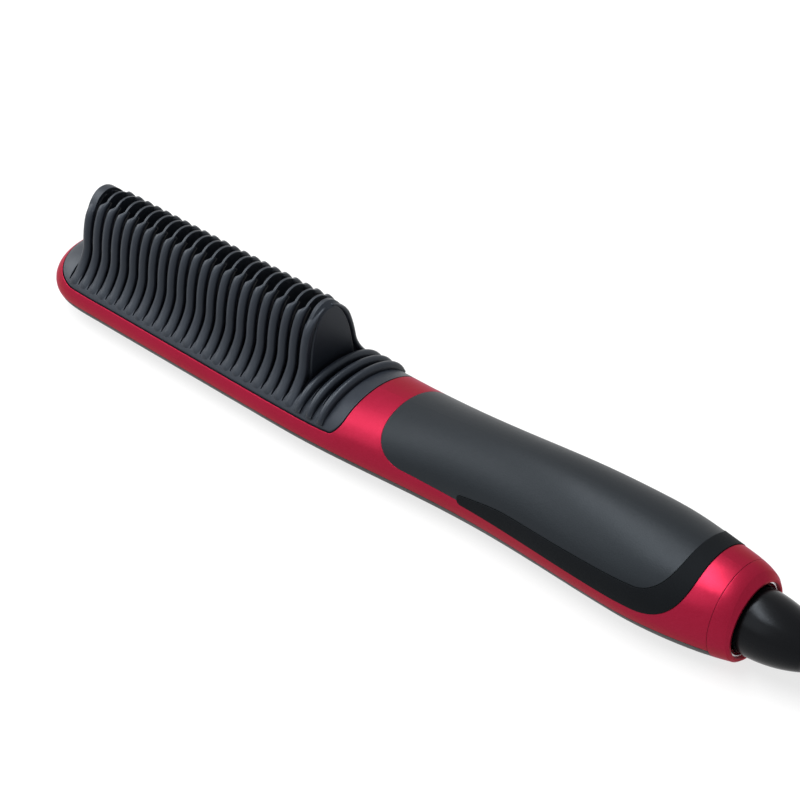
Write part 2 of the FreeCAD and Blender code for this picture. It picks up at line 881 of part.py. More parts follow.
def swivel_boot():
    """Thrust flange, journal, dome and ribbed sleeve, turned about the swivel axis."""
    dome_x = end_x + dome_length
    sleeve_x = dome_x + sleeve_lead
    rib_end_x = boot_end_x - sleeve_end_land
    pitch = (rib_end_x - sleeve_x) / rib_count

    def at(x, radius):
        return V(x, 0, end_axis_z + radius)

    def sleeve_at(x):
        return between(sleeve_radius, sleeve_end_radius, share(x, sleeve_x, boot_end_x))

    edges = []
    points = [at(thrust_x, 0), at(thrust_x, thrust_radius), at(journal_x, thrust_radius)]
    points += [at(journal_x, journal_radius), at(socket_end_x, journal_radius)]
    points += [at(socket_end_x, boot_radius), at(end_x, boot_radius)]
    edges += [Part.makeLine(a, b) for a, b in zip(points, points[1:])]
    neck = at(dome_x, boot_neck_radius)
    middle = at(between(end_x, dome_x, dome_mid_share), dome_mid_radius)
    edges.append(Part.Arc(points[-1], middle, neck).toShape())
    points = [neck]
    for i in range(rib_count):
        x = sleeve_x + i * pitch
        radius = sleeve_at(x)
        points += [at(x, radius), at(x + rib_share * pitch, radius)]
        points += [at(x + rib_share * pitch, radius - rib_depth), at(x + pitch, radius - rib_depth)]
    bore_x = boot_end_x - cord_bore_depth
    points += [at(rib_end_x, sleeve_end_radius), at(boot_end_x, sleeve_end_radius)]
    points += [at(boot_end_x, cord_bore_radius), at(bore_x, cord_bore_radius), at(bore_x, 0)]
    points.append(at(thrust_x, 0))
    edges += [Part.makeLine(a, b) for a, b in zip(points, points[1:])]
    return Part.Face(Part.Wire(edges)).revolve(V(0, 0, end_axis_z), V(1, 0, 0), 360)


ring_core_x = thrust_x - ring_core_length


def slip_ring_places():
    return [between(ring_core_x, thrust_x, part) for part in slip_ring_shares]


def slip_rings():
    rings = []
    for x in slip_ring_places():
        x0 = x - slip_ring_width / 2
        band = rod(x0, x0 + slip_ring_width, 0, end_axis_z, slip_ring_radius)
        rings.append(band.cut(rod(x0, x0 + slip_ring_width, 0, end_axis_z, ring_core_radius)))
    return Part.makeCompound(rings)


holder_x = between(ring_core_x, thrust_x, 0.5) - holder_length / 2
holder_top_z = end_axis_z - slip_ring_radius - brush_gap - brush_height


def brush_holder():
    half = holder_half_width
    stand = block(holder_x, holder_x + holder_length, -half, half, 0, holder_top_z)
    return stand.common(envelope(wall + contact_gap))


def brushes():
    half = slip_ring_width / 2
    made = []
    for x in slip_ring_places():
        made.append(block(x - half, x + half, -brush_half_width, brush_half_width,
                          holder_top_z, holder_top_z + brush_height))
    return Part.makeCompound(made)


# Control panel, buttons and board
display_x = control_x + display_share * control_length
lens_top_z = flange_top_z + lens_flange_thickness


def control_panel():
    plate = control_form(0, control_face_z, control_top_z)
    plate = plate.fuse(control_form(control_flange, control_top_z, flange_top_z))
    cuts = []
    for name, x in panel_places.items():
        cuts.append(post(x, 0, 0, flange_top_z, button_radii[name] + slide_gap))
    cuts.append(display_form(fit_gap, 0, flange_top_z))
    return plate.cut(cuts)


def display_form(grow, z0, z1):
    half = display_length / 2 + grow
    width = display_half_width + grow
    return rounded_box(display_x - half, display_x + half, -width, width, z0, z1, display_corner)


def display_lens():
    window = display_form(0, lens_face_z, lens_top_z)
    return window.fuse(display_form(lens_flange, flange_top_z, lens_top_z))


def display_module():
    half = display_length / 2 + lens_flange
    width = display_half_width + lens_flange
    return block(display_x - half, display_x + half, -width, width, lens_top_z + module_gap, board_z)


def button(name):
    x = panel_places[name]
    radius = button_radii[name]
    top_z = button_flange_z + button_flange_thickness
    cap = post(x, 0, button_face_z, top_z, radius)
    face = [e for e in cap.Edges if e.CenterOfMass.z < button_face_z + seam_gap and e.Closed]
    cap = cap.makeFillet(button_edge_round, face)
    return cap.fuse(post(x, 0, button_flange_z, top_z, radius + button_flange))


def tact_switch(name):
    x = panel_places[name]
    half = switch_half_size
    body = block(x - half, x + half, -half, half, board_z - switch_height, board_z)
    bore_z = board_z - switch_height + switch_bore_depth
    return body.cut(post(x, 0, 0, bore_z, plunger_radius + plunger_gap))


def plunger(name):
    foot_z = button_flange_z + button_flange_thickness
    return post(panel_places[name], 0, foot_z, board_z - switch_height + plunger_tail, plunger_radius)


def control_board():
    board = rounded_box(board_x, board_x + board_length, -board_half_width, board_half_width,
                        board_z, board_top_z, board_thickness)
    radius = small_shank_radius + screw_gap
    return board.cut([post(x, y, 0, board_top_z, radius) for x, y in board_screw_places()])


def terminal_block():
    return block(board_x, board_x + terminal_length, -terminal_half_width, terminal_half_width,
                 board_top_z, board_top_z + terminal_height)


def relay():
    x = board_x + relay_share * board_length
    return block(x - relay_length / 2, x + relay_length / 2, -relay_half_width, relay_half_width,
                 board_top_z, board_top_z + relay_height)


def capacitor():
    x = board_x + capacitor_share * board_length
    z = board_top_z + capacitor_radius + contact_gap
    return rod(x - capacitor_length / 2, x + capacitor_length / 2, 0, z, capacitor_radius)


def choke():
    return post(board_x + choke_share * board_length, 0, board_top_z, board_top_z + choke_height, choke_radius)


def heater_lead(side, end_z):
    start_x = board_x - lead_end_gap
    start_z = board_top_z + terminal_height / 2
    last_x = tab_end_x + lead_end_gap
    points = [V(start_x, side * lead_y, start_z)]
    for part, sag_part in heater_lead_shares:
        z = between(start_z, end_z, part) - sag_part * lead_sag
        points.append(V(between(start_x, last_x, part), side * lead_y, z))
    points.append(V(last_x, side * tab_y, end_z))
    return tube(open_path(points, route_radii(points)), lead_diameter)


def supply_lead(side):
    x1 = board_x + board_length
    y = side * supply_lead_y
    edge_z = board_z - lead_diameter / 2 - contact_gap
    start = V(holder_x, y, supply_lead_z)
    low_x, high_x = [between(holder_x, x1, part) for part in supply_lead_shares]
    points = [start, V(low_x, y, supply_lead_z), V(high_x, y, edge_z), V(x1 - lead_diameter, y, edge_z)]
    return tube(open_path(points, route_radii(points)), lead_diameter)


def case_screw_set():
    made = []
    for x, y in case_screws:
        made.append(screw(x, y, case_head_seat_z, case_top_z,
                          case_shank_radius, case_head_radius, case_head_height))
    return Part.makeCompound(made)


# Mains cord, put away in a tied hank
hank_start = V(*cord_route[-1])
hank_x0 = hank_start.x + cord_diameter
hank_x1 = hank_x0 + hank_run
hank_low_z = hank_start.z
hank_outer_radius = abs(hank_start.y)


def half_turn(start, radius, heading):
    """Flat half turn to the left; heading is 1 along +X at its start and -1 along -X."""
    middle = start + V(heading * radius, heading * radius, 0)
    end = start + V(0, 2 * heading * radius, 0)
    return Part.Arc(start, middle, end).toShape(), end


def lean_arc(start, heading, end):
    """Arc that leaves start along heading and reaches end."""
    chord = end - start
    length = chord.Length
    along = chord * (1 / length)
    lean = heading.getAngle(along)
    side = (heading - along * heading.dot(along)).normalize()
    middle = start + chord * 0.5 + side * (length / 2 * math.tan(lean / 2))
    return Part.Arc(start, middle, end).toShape()


def climb(start, end, heading):
    """Run that rises to the next layer, as two arcs that meet smoothly."""
    joint = (start + end) * 0.5
    return [lean_arc(start, V(heading, 0, 0), joint), lean_arc(end, V(-heading, 0, 0), joint)]


def hank_path():
    """Loops that spiral in and out again, one layer on another, each climb along a run."""
    at = V(hank_x0, hank_start.y, hank_low_z)
    edges = [Part.makeLine(hank_start, at)]
    heading = 1
    radius = hank_outer_radius
    inward = -1
    for layer in range(hank_layers):
        for i in range(hank_half_turns):
            end = at + V(heading * hank_run, 0, 0)
            if layer and i == 0:
                end.z += hank_step
                edges += climb(at, end, heading)
            else:
                edges.append(Part.makeLine(at, end))
            if i:
                radius += inward * hank_step / 2
            edge, at = half_turn(end, radius, heading)
            edges.append(edge)
            heading = -heading
        inward = -inward
    edges.append(Part.makeLine(at, V(hank_x1 + cord_diameter, at.y, at.z)))
    return Part.Wire(Part.__sortEdges__(edges))


def hank_gap(path):
    """Least clear distance between stretches of the hank that are most of a loop apart."""
    count = 1500
    points = path.discretize(count)
    skip = int(count / (hank_layers * hank_half_turns))
    least = overrun
    for i, point in enumerate(points):
        for other in points[i + skip:]:
            least = min(least, point.distanceToPoint(other))
    return least - cord_diameter


def cord_hank():
    path = hank_path()
    solid = tube(path, cord_diameter)
    swept = math.pi * cord_radius ** 2 * path.Length
    print("cord_hank length %.1f" % path.Length, "volume ratio %.4f" % (solid.Volume / swept))
    print("cord_hank least gap %.2f" % hank_gap(path))
    return solid


def cord_tie():
    """Flat strap round the middle of the hank."""
    x0 = (hank_x0 + hank_x1 - tie_width) / 2
    side = hank_outer_radius + cord_radius + tie_gap
    low_z = hank_low_z - cord_radius - tie_gap
    high = hank_low_z + (hank_layers - 1) * hank_step + cord_radius + tie_gap

    def band(grow):
        corners = [V(x0, -side - grow, low_z - grow), V(x0, side + grow, low_z - grow)]
        corners += [V(x0, side + grow, high + grow), V(x0, -side - grow, high + grow)]
        return Part.Face(outline(corners, [tie_round + grow] * 4)).extrude(V(tie_width, 0, 0))

    return band(tie_thickness).cut(band(0))


# Three-pin plug lying on its back with its pins up
plug_entry = V(*tail_route[-1])
plug_x0 = plug_entry.x + plug_grip_length
plug_x1 = plug_x0 + plug_length
plug_y = plug_entry.y
live_x = plug_x0 + live_pin_lead
earth_x = live_x + pin_rows


def pin_forms():
    forms = {}
    sizes = {"live_pin": (live_x, -live_pin_y, pin_thickness, live_pin_width, live_pin_height)}
    sizes["neutral_pin"] = (live_x, live_pin_y, pin_thickness, live_pin_width, live_pin_height)
    sizes["earth_pin"] = (earth_x, 0, earth_pin_width, pin_thickness, earth_pin_height)
    for name, (x, y, length, width, height) in sizes.items():
        y += plug_y
        top_z = plug_height + height
        form = block(x - length / 2, x + length / 2, y - width / 2, y + width / 2,
                     plug_height - pin_root, top_z)
        top = [e for e in form.Edges if e.CenterOfMass.z > top_z - seam_gap]
        forms[name] = form.makeChamfer(pin_chamfer, top)
    return forms


def plug_body():
    half = plug_half_width
    near = plug_shoulder_half_width
    corners = [V(plug_x0, plug_y - near, 0), V(plug_x0 + plug_shoulder, plug_y - half, 0)]
    corners += [V(plug_x1, plug_y - half, 0), V(plug_x1, plug_y + half, 0)]
    corners += [V(plug_x0 + plug_shoulder, plug_y + half, 0), V(plug_x0, plug_y + near, 0)]
    body = Part.Face(outline(corners, [plug_corner] * 6)).extrude(V(0, 0, plug_height))
    rims = [e for e in body.Edges if e.BoundBox.ZLength < seam_gap]
    body = body.makeFillet(plug_edge_round, rims)
    body = body.cut(list(pin_forms().values()))
    return body.cut(fuse_cover_form(fit_gap))


def fuse_cover_form(grow):
    x = plug_x0 + fuse_cover_lead
    half = fuse_cover_half_width + grow
    length = fuse_cover_length / 2 + grow
    floor_z = plug_height - fuse_cover_depth
    return block(x - length, x + length, plug_y - half, plug_y + half, floor_z, plug_height)


def plug_grip():
    return Part.makeCone(plug_grip_radius, plug_grip_end_radius, plug_grip_length,
                         V(plug_x0, plug_y, plug_entry.z), V(-1, 0, 0))


nodes = {
    "back_cover": back_cover(),
    "front_frame": front_frame(),
    "comb_guard": comb_guard(),
    "heating_comb": heating_comb(),
    "heater_insulation": block(heater_x0, heater_x1, -heater_half_width, heater_half_width,
                               heat_plate_z - insulation_thickness, heat_plate_z),
    "upper_electrode": electrode(upper_electrode_z, tab_y),
    "ptc_heater": block(heater_x0, heater_x1, -heater_half_width, heater_half_width,
                        heater_z, upper_electrode_z),
    "lower_electrode": electrode(lower_electrode_z, -tab_y),
    "mica_sheet": block(heater_x0, heater_x1, -heater_half_width, heater_half_width,
                        mica_z, lower_electrode_z),
    "heater_clamp": heater_clamp(),
    "clamp_screws": small_screws(ear_places(), clamp_z, heat_plate_z + clamp_screw_reach),
    "comb_screws": small_screws(comb_screw_places(), heat_plate_z, heat_plate_z + small_screw_reach),
    "heat_shield": heat_shield(),
    "grip_panel": grip_panel(),
    "grip_pad": grip_pad(),
    "end_collar": end_collar(),
    "collar_trim": collar_trim(),
    "swivel_bushing": swivel_bushing(),
    "swivel_boot": swivel_boot(),
    "ring_core": rod(ring_core_x, thrust_x, 0, end_axis_z, ring_core_radius),
    "slip_rings": slip_rings(),
    "brush_holder": brush_holder(),
    "brushes": brushes(),
    "control_panel": control_panel(),
    "display_lens": display_lens(),
    "display_module": display_module(),
    "control_board": control_board(),
    "board_screws": small_screws(board_screw_places(), board_z, board_top_z + board_screw_reach),
    "terminal_block": terminal_block(),
    "relay": relay(),
    "capacitor": capacitor(),
    "choke": choke(),
    "heater_lead_a": heater_lead(1, upper_electrode_z + electrode_thickness / 2),
    "heater_lead_b": heater_lead(-1, lower_electrode_z + electrode_thickness / 2),
    "supply_lead_a": supply_lead(1),
    "supply_lead_b": supply_lead(-1),
    "case_screws": case_screw_set(),
    "power_cord": cord("power_cord", cord_route, cord_diameter),
    "cord_hank": cord_hank(),
    "cord_tail": cord("cord_tail", tail_route, cord_diameter),
    "cord_tie": cord_tie(),
    "plug_body": plug_body(),
    "plug_grip": plug_grip(),
    "fuse_cover": fuse_cover_form(0),
}
sensor_x = between(heat_front_x, heat_rear_x, thermistor_share)
fuse_x = between(heat_front_x, heat_rear_x, thermal_fuse_share)
nodes["thermistor"] = rod(sensor_x, sensor_x + thermistor_length, sensor_y,
                          heat_plate_z - thermistor_radius - contact_gap, thermistor_radius)
nodes["thermal_fuse"] = rod(fuse_x, fuse_x + thermal_fuse_length, -sensor_y,
                            heat_plate_z - thermal_fuse_radius - contact_gap, thermal_fuse_radius)
nodes.update(pin_forms())
for name in button_shares:
    nodes[name + "_button"] = button(name)
    nodes[name + "_plunger"] = plunger(name)
    nodes[name + "_switch"] = tact_switch(name)

for name, shape in nodes.items():
    save(name, shape)
print("body length %.2f" % body_length, "nodes", len(nodes))
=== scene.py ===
import bpy
import bmesh
import json
import math
from mathutils import Matrix, Vector


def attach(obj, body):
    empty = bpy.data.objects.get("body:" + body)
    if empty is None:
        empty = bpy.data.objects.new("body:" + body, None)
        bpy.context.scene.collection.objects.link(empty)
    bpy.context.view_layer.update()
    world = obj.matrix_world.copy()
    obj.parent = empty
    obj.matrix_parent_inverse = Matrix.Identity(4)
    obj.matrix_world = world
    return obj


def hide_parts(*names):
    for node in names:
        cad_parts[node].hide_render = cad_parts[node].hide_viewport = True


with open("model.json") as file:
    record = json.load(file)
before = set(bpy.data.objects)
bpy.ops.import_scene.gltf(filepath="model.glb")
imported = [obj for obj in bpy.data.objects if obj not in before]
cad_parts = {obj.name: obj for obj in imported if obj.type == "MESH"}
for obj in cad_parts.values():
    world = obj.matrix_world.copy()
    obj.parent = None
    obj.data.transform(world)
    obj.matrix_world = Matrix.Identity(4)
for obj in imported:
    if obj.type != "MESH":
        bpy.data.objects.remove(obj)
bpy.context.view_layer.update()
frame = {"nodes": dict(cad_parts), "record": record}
nodes = frame["nodes"]
scene = bpy.context.scene
print("frame loaded,", len(nodes), "nodes")


# one socket of a node tree; sums on it add Math nodes
class Wire:
    def __init__(self, tree, socket=None):
        self.tree = tree
        self.socket = socket

    def make(self, kind, settings=None, inputs=None, out=0):
        node = self.tree.nodes.new(kind)
        for key, value in (settings or {}).items():
            setattr(node, key, value)
        for key, value in (inputs or {}).items():
            if isinstance(value, Wire):
                self.tree.links.new(value.socket, node.inputs[key])
            else:
                node.inputs[key].default_value = value
        return Wire(self.tree, node.outputs[out] if len(node.outputs) else None)

    def maths(self, operation, first, second):
        return self.make("ShaderNodeMath", {"operation": operation}, {0: first, 1: second})

    def __add__(self, other):
        return self.maths("ADD", self, other)

    def __radd__(self, other):
        return self.maths("ADD", other, self)

    def __sub__(self, other):
        return self.maths("SUBTRACT", self, other)

    def __rsub__(self, other):
        return self.maths("SUBTRACT", other, self)

    def __mul__(self, other):
        return self.maths("MULTIPLY", self, other)

    def __rmul__(self, other):
        return self.maths("MULTIPLY", other, self)


# an emptied node tree on a material or the world
def freshWire(block):
    block.use_nodes = True
    block.node_tree.nodes.clear()
    return Wire(block.node_tree)


def addObject(name, data):
    obj = bpy.data.objects.new(name, data)
    scene.collection.objects.link(obj)
    return obj


def meshObject(name, bm):
    mesh = bpy.data.meshes.new(name)
    bm.to_mesh(mesh)
    bm.free()
    return addObject(name, mesh)


def grey(level):
    return (level, level, level, 1)


# finishes
def noiseAt(wire, place, scale, detail, rough):
    return wire.make("ShaderNodeTexNoise", None,
                     {"Vector": place, "Scale": scale, "Detail": detail, "Roughness": rough})


def stretch(wire, value, low, high, toLow, toHigh):
    return wire.make("ShaderNodeMapRange", None,
                     {"Value": value, "From Min": low, "From Max": high, "To Min": toLow, "To Max": toHigh})


def blendColour(wire, factor, first, second):
    return wire.make("ShaderNodeMix", {"data_type": "RGBA"}, {0: factor, 6: first, 7: second}, out=2)


def moulded(name, look):
    material = bpy.data.materials.new(name)
    wire = freshWire(material)
    place = wire.make("ShaderNodeTexCoord", out="Object")
    cloud = noiseAt(wire, place, look["cloud"], look["cloudDetail"], look["cloudRough"])
    grain = noiseAt(wire, place, look["grain"], look["grainDetail"], look["grainRough"])
    low, high = look["noiseRange"]
    colour = blendColour(wire, stretch(wire, cloud, low, high, 0.0, 1.0), look["colour"], look["shade"])
    if "flake" in look:  # bright specks in a metallic paint
        cells = wire.make("ShaderNodeTexVoronoi", None, {"Vector": place, "Scale": look["flakeScale"]}, out="Color")
        speck = wire.make("ShaderNodeSeparateColor", None, {0: cells})
        share = stretch(wire, speck, look["flakeFrom"], 1.0, 0.0, look["flakeShare"])
        colour = blendColour(wire, share, colour, look["flake"])
    mixed = cloud * (1 - look["grainShare"]) + grain * look["grainShare"]
    rough = stretch(wire, mixed, low, high, *look["rough"])
    edge = wire.make("ShaderNodeBevel", {"samples": look["edgeSamples"]}, {"Radius": look["edge"]})
    bump = wire.make("ShaderNodeBump", None, {"Strength": look["bump"], "Distance": look["bumpDistance"],
                                              "Height": grain, "Normal": edge})
    inputs = {"Base Color": colour, "Roughness": rough, "Normal": bump, "Metallic": look["metal"],
              "Coat Weight": look["coat"], "Coat Roughness": look["coatRough"],
              "Specular IOR Level": look["shine"], "Specular Tint": look["tint"]}
    shader = wire.make("ShaderNodeBsdfPrincipled", None, inputs)
    wire.make("ShaderNodeOutputMaterial", None, {"Surface": shader})
    return material


# what a finish has unless its own row says otherwise
plainLook = {
    "metal": 0.0, "coat": 0.0, "coatRough": 0.1, "shine": 0.5, "tint": grey(1.0),
    "cloudDetail": 3.0, "cloudRough": 0.5, "grainDetail": 2.0, "grainRough": 0.6, "grainShare": 0.5,
    "noiseRange": (0.3, 0.7), "flakeFrom": 0.55, "bumpDistance": 0.0002, "edgeSamples": 6,
}
finishes = {
    "redPaint": {"colour": (0.250, 0.0070, 0.027, 1), "shade": (0.222, 0.0060, 0.022, 1), "cloud": 35, "grain": 1400,
                 "rough": (0.32, 0.38), "bump": 0.03, "edge": 0.0003, "metal": 0.70, "coat": 0.05, "coatRough": 0.30,
                 "shine": 0.2, "tint": (0.78, 0.24, 0.38, 1), "flake": (0.40, 0.030, 0.075, 1), "flakeScale": 9000,
                 "flakeShare": 0.22},
    "combPlastic": {"colour": (0.0105, 0.0130, 0.0185, 1), "shade": (0.0078, 0.0100, 0.0142, 1), "cloud": 60,
                    "grain": 1800, "rough": (0.36, 0.46), "bump": 0.10, "edge": 0.00035, "shine": 0.24,
                    "tint": (0.79, 0.89, 1.0, 1)},
    "gripPlastic": {"colour": (0.0075, 0.0092, 0.0112, 1), "shade": (0.006, 0.0076, 0.0094, 1), "cloud": 45,
                    "grain": 2200, "rough": (0.38, 0.45), "bump": 0.14, "edge": 0.0003, "shine": 0.155,
                    "tint": (0.80, 0.90, 1.0, 1)},
    "rubberPad": {"colour": (0.0046, 0.0053, 0.0062, 1), "shade": (0.0038, 0.0044, 0.0052, 1), "cloud": 50,
                  "grain": 2600, "rough": (0.60, 0.70), "bump": 0.20, "edge": 0.0003, "shine": 0.05,
                  "tint": (0.80, 0.90, 1.0, 1)},
    "backPlastic": {"colour": (0.004, 0.004, 0.0045, 1), "shade": (0.003, 0.003, 0.0035, 1), "cloud": 40,
                    "grain": 2000, "rough": (0.40, 0.50), "bump": 0.14, "edge": 0.0003, "shine": 0.14},
    "bootPlastic": {"colour": (0.0035, 0.0035, 0.004, 1), "shade": (0.003, 0.003, 0.0034, 1), "cloud": 70,
                    "grain": 1500, "rough": (0.22, 0.28), "bump": 0.04, "edge": 0.0003, "shine": 0.10,
                    "tint": (0.82, 0.90, 1.0, 1)},
    "buttonPlastic": {"colour": (0.026, 0.027, 0.030, 1), "shade": (0.022, 0.023, 0.026, 1), "cloud": 80,
                      "grain": 2200, "rough": (0.34, 0.42), "bump": 0.10, "edge": 0.0003, "shine": 0.3},
    "cordJacket": {"colour": (0.005, 0.005, 0.0056, 1), "shade": (0.004, 0.004, 0.0045, 1), "cloud": 80,
                   "grain": 1500, "rough": (0.38, 0.46), "bump": 0.06, "edge": 0.0002, "shine": 0.2},
    "silverTrim": {"colour": (0.70, 0.70, 0.72, 1), "shade": (0.62, 0.62, 0.64, 1), "cloud": 60, "grain": 1600,
                   "rough": (0.20, 0.30), "bump": 0.04, "edge": 0.0002, "metal": 1.0},
    "hardCoat": {"colour": (0.050, 0.052, 0.056, 1), "shade": (0.036, 0.038, 0.042, 1), "cloud": 80, "grain": 1800,
                 "rough": (0.38, 0.48), "bump": 0.08, "edge": 0.0002, "metal": 0.7},
    "steel": {"colour": (0.52, 0.52, 0.54, 1), "shade": (0.44, 0.44, 0.46, 1), "cloud": 120, "grain": 2400,
              "rough": (0.28, 0.38), "bump": 0.06, "edge": 0.0002, "metal": 1.0},
    "brass": {"colour": (0.68, 0.47, 0.18, 1), "shade": (0.58, 0.38, 0.13, 1), "cloud": 110, "grain": 2400,
              "rough": (0.24, 0.34), "bump": 0.05, "edge": 0.0002, "metal": 1.0},
    "ceramic": {"colour": (0.42, 0.40, 0.37, 1), "shade": (0.36, 0.34, 0.31, 1), "cloud": 90, "grain": 2600,
                "rough": (0.60, 0.70), "bump": 0.10, "edge": 0.0001},
    "amberFilm": {"colour": (0.50, 0.26, 0.05, 1), "shade": (0.42, 0.20, 0.04, 1), "cloud": 80, "grain": 1800,
                  "rough": (0.28, 0.38), "bump": 0.05, "edge": 0.0001},
    "nylon": {"colour": (0.70, 0.69, 0.62, 1), "shade": (0.64, 0.62, 0.55, 1), "cloud": 70, "grain": 2000,
              "rough": (0.45, 0.55), "bump": 0.08, "edge": 0.0002},
    "boardMask": {"colour": (0.012, 0.11, 0.035, 1), "shade": (0.010, 0.085, 0.028, 1), "cloud": 160, "grain": 2600,
                  "rough": (0.30, 0.40), "bump": 0.05, "edge": 0.0001},
    "smokedLens": {"colour": (0.004, 0.004, 0.005, 1), "shade": (0.003, 0.003, 0.004, 1), "cloud": 60, "grain": 800,
                   "rough": (0.05, 0.09), "bump": 0.01, "edge": 0.0002, "coat": 0.5},
    "componentCase": {"colour": (0.030, 0.035, 0.060, 1), "shade": (0.022, 0.026, 0.046, 1), "cloud": 90,
                      "grain": 2200, "rough": (0.34, 0.44), "bump": 0.08, "edge": 0.0002},
    "wireSleeve": {"colour": (0.30, 0.02, 0.02, 1), "shade": (0.24, 0.015, 0.015, 1), "cloud": 120, "grain": 2200,
                   "rough": (0.45, 0.55), "bump": 0.06, "edge": 0.0001},
}
made = {name: moulded(name, {**plainLook, **look}) for name, look in finishes.items()}

slotFinish = {
    "red_metal_paint": "redPaint", "black_plastic": "backPlastic", "comb_plastic": "combPlastic",
    "grip_plastic": "gripPlastic", "rubber": "rubberPad", "silver_trim": "silverTrim", "aluminium": "hardCoat",
    "steel": "steel", "brass": "brass", "ceramic": "ceramic", "insulation": "amberFilm", "nylon": "nylon",
    "board": "boardMask", "lens": "smokedLens", "parts": "componentCase", "wire": "wireSleeve", "cord": "cordJacket",
}
ownFinish = {"swivel_boot": "bootPlastic", "plug_grip": "bootPlastic", "power_button": "buttonPlastic",
             "plus_button": "buttonPlastic", "minus_button": "buttonPlastic"}


def coat(obj, material):
    obj.data.materials.clear()
    obj.data.materials.append(material)


for entry in frame["record"]["subparts"]:
    finish = ownFinish.get(entry["node"], slotFinish[entry["material_slot"]])
    coat(nodes[entry["node"]], made[finish])
print("finishes given to the nodes")

# mains cord: one smooth line through the route, the tied hank and the tail
cordLook = {
    "diameter": 0.0052, "sides": 6, "length": 1.625,
    "route": [(0.187, 0, 0.0141), (0.206, 0, 0.0141), (0.225, -0.009, 0.0084), (0.245, -0.02, 0.0036)],
    "tail": [(0.3519, -0.02, 0.02055), (0.3719, -0.0112, 0.0146), (0.3915, 0, 0.0086), (0.4105, 0, 0.0086)],
    "startX": 0.2677, "run": 0.062, "low": 0.0036, "outer": 0.02, "step": 0.00565,
    "layers": 4, "halfTurns": 3, "perHalf": 8, "exit": (0.194175, 0, 0.0141), "smooth": 6,
    "climb": ((0.06, 0.0), (0.34, 0.12), (0.66, 0.88), (0.94, 1.0)),  # share of a run, share of its rise
    "lastRun": (0.06, 0.5, 0.94),
}


def hankPoints(look):
    spread = math.pi / look["perHalf"]
    swell = 1 / ((3 + math.cos(spread)) / 4)  # the spline runs inside its points
    place = Vector((look["startX"], -look["outer"], look["low"]))
    points = []
    heading = 1
    radius = look["outer"]
    inward = -1
    for layer in range(look["layers"]):
        for i in range(look["halfTurns"]):
            rise = look["step"] if layer and i == 0 else 0.0
            run = Vector((heading * look["run"], 0, 0))
            for share, height in look["climb"]:
                points.append(place + run * share + Vector((0, 0, rise * height)))
            place = place + run + Vector((0, 0, rise))
            radius += inward * look["step"] / 2 if i else 0.0
            middle = place + Vector((0, heading * radius, 0))
            for k in range(look["perHalf"]):
                angle = heading * ((k + 0.5) * spread - math.pi / 2)
                points.append(middle + Vector((heading * math.cos(angle), math.sin(angle), 0)) * radius * swell)
            place = middle + Vector((0, heading * radius, 0))
            heading = -heading
        inward = -inward
    return points + [place + Vector((look["run"] * share, 0, 0)) for share in look["lastRun"]]


def layCord(look):
    curve = bpy.data.curves.new("mainsCord", "CURVE")
    curve.dimensions = "3D"
    curve.bevel_depth = look["diameter"] / 2
    curve.bevel_resolution = look["sides"]
    curve.use_fill_caps = True
    curve.resolution_u = look["smooth"]
    points = look["route"] + hankPoints(look) + look["tail"]
    spline = curve.splines.new("NURBS")
    spline.points.add(len(points) - 1)
    for point, place in zip(spline.points, points):
        point.co = (*place, 1)
    spline.order_u = 3
    spline.use_endpoint_u = True
    cord = addObject("mainsCord", curve)
    coat(cord, made["cordJacket"])
    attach(cord, "housing")
    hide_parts("power_cord", "cord_hank", "cord_tail")


layCord(cordLook)
print("cord laid")

# rounded ribs on the fins' sides, swept from the fin's shoulder down to the skirt
ribLook = {
    "fins": 23, "pitch": 0.0046, "firstX": -0.117925, "left": 0.00295, "right": 0.00015, "plate": 0.00095,
    "halfWidth": 0.0112, "baseZ": 0.0153, "height": 0.0293, "sidePower": 2.1, "topPower": 2.54,
    "topZ": 0.0434, "taperZ": 0.0413, "flareZ": 0.0280, "bend": (0.0111, 0.0232),
    "toeY": (0.0172, 0.0179, 0.0185),
    "skirtHalf": 0.0200, "skirtHeight": 0.0119, "skirtZ": 0.01113, "crown": 0.00070, "depth": 0.0016,
    "topLift": -0.00015, "toeLifts": (0.00025, 0.00008, -0.00020), "toeWidths": (0.0042, 0.0044, 0.0045),
    "rounding": 0.49, "segments": 5, "steps": 12, "crowding": 1.6,
    "first": {"left": 0.00335, "right": 0.00010, "plate": 0.00335,
              "topZ": 0.0444, "taperZ": 0.0365, "topLift": -0.0008},
    "last": {"left": 0.00295, "right": 0.00035, "plate": 0.00295,
             "topZ": 0.0444, "taperZ": 0.0365, "topLift": -0.0008},
}


def easeIn(value):
    value = min(1.0, max(0.0, value))
    return value * value * (3 - 2 * value)


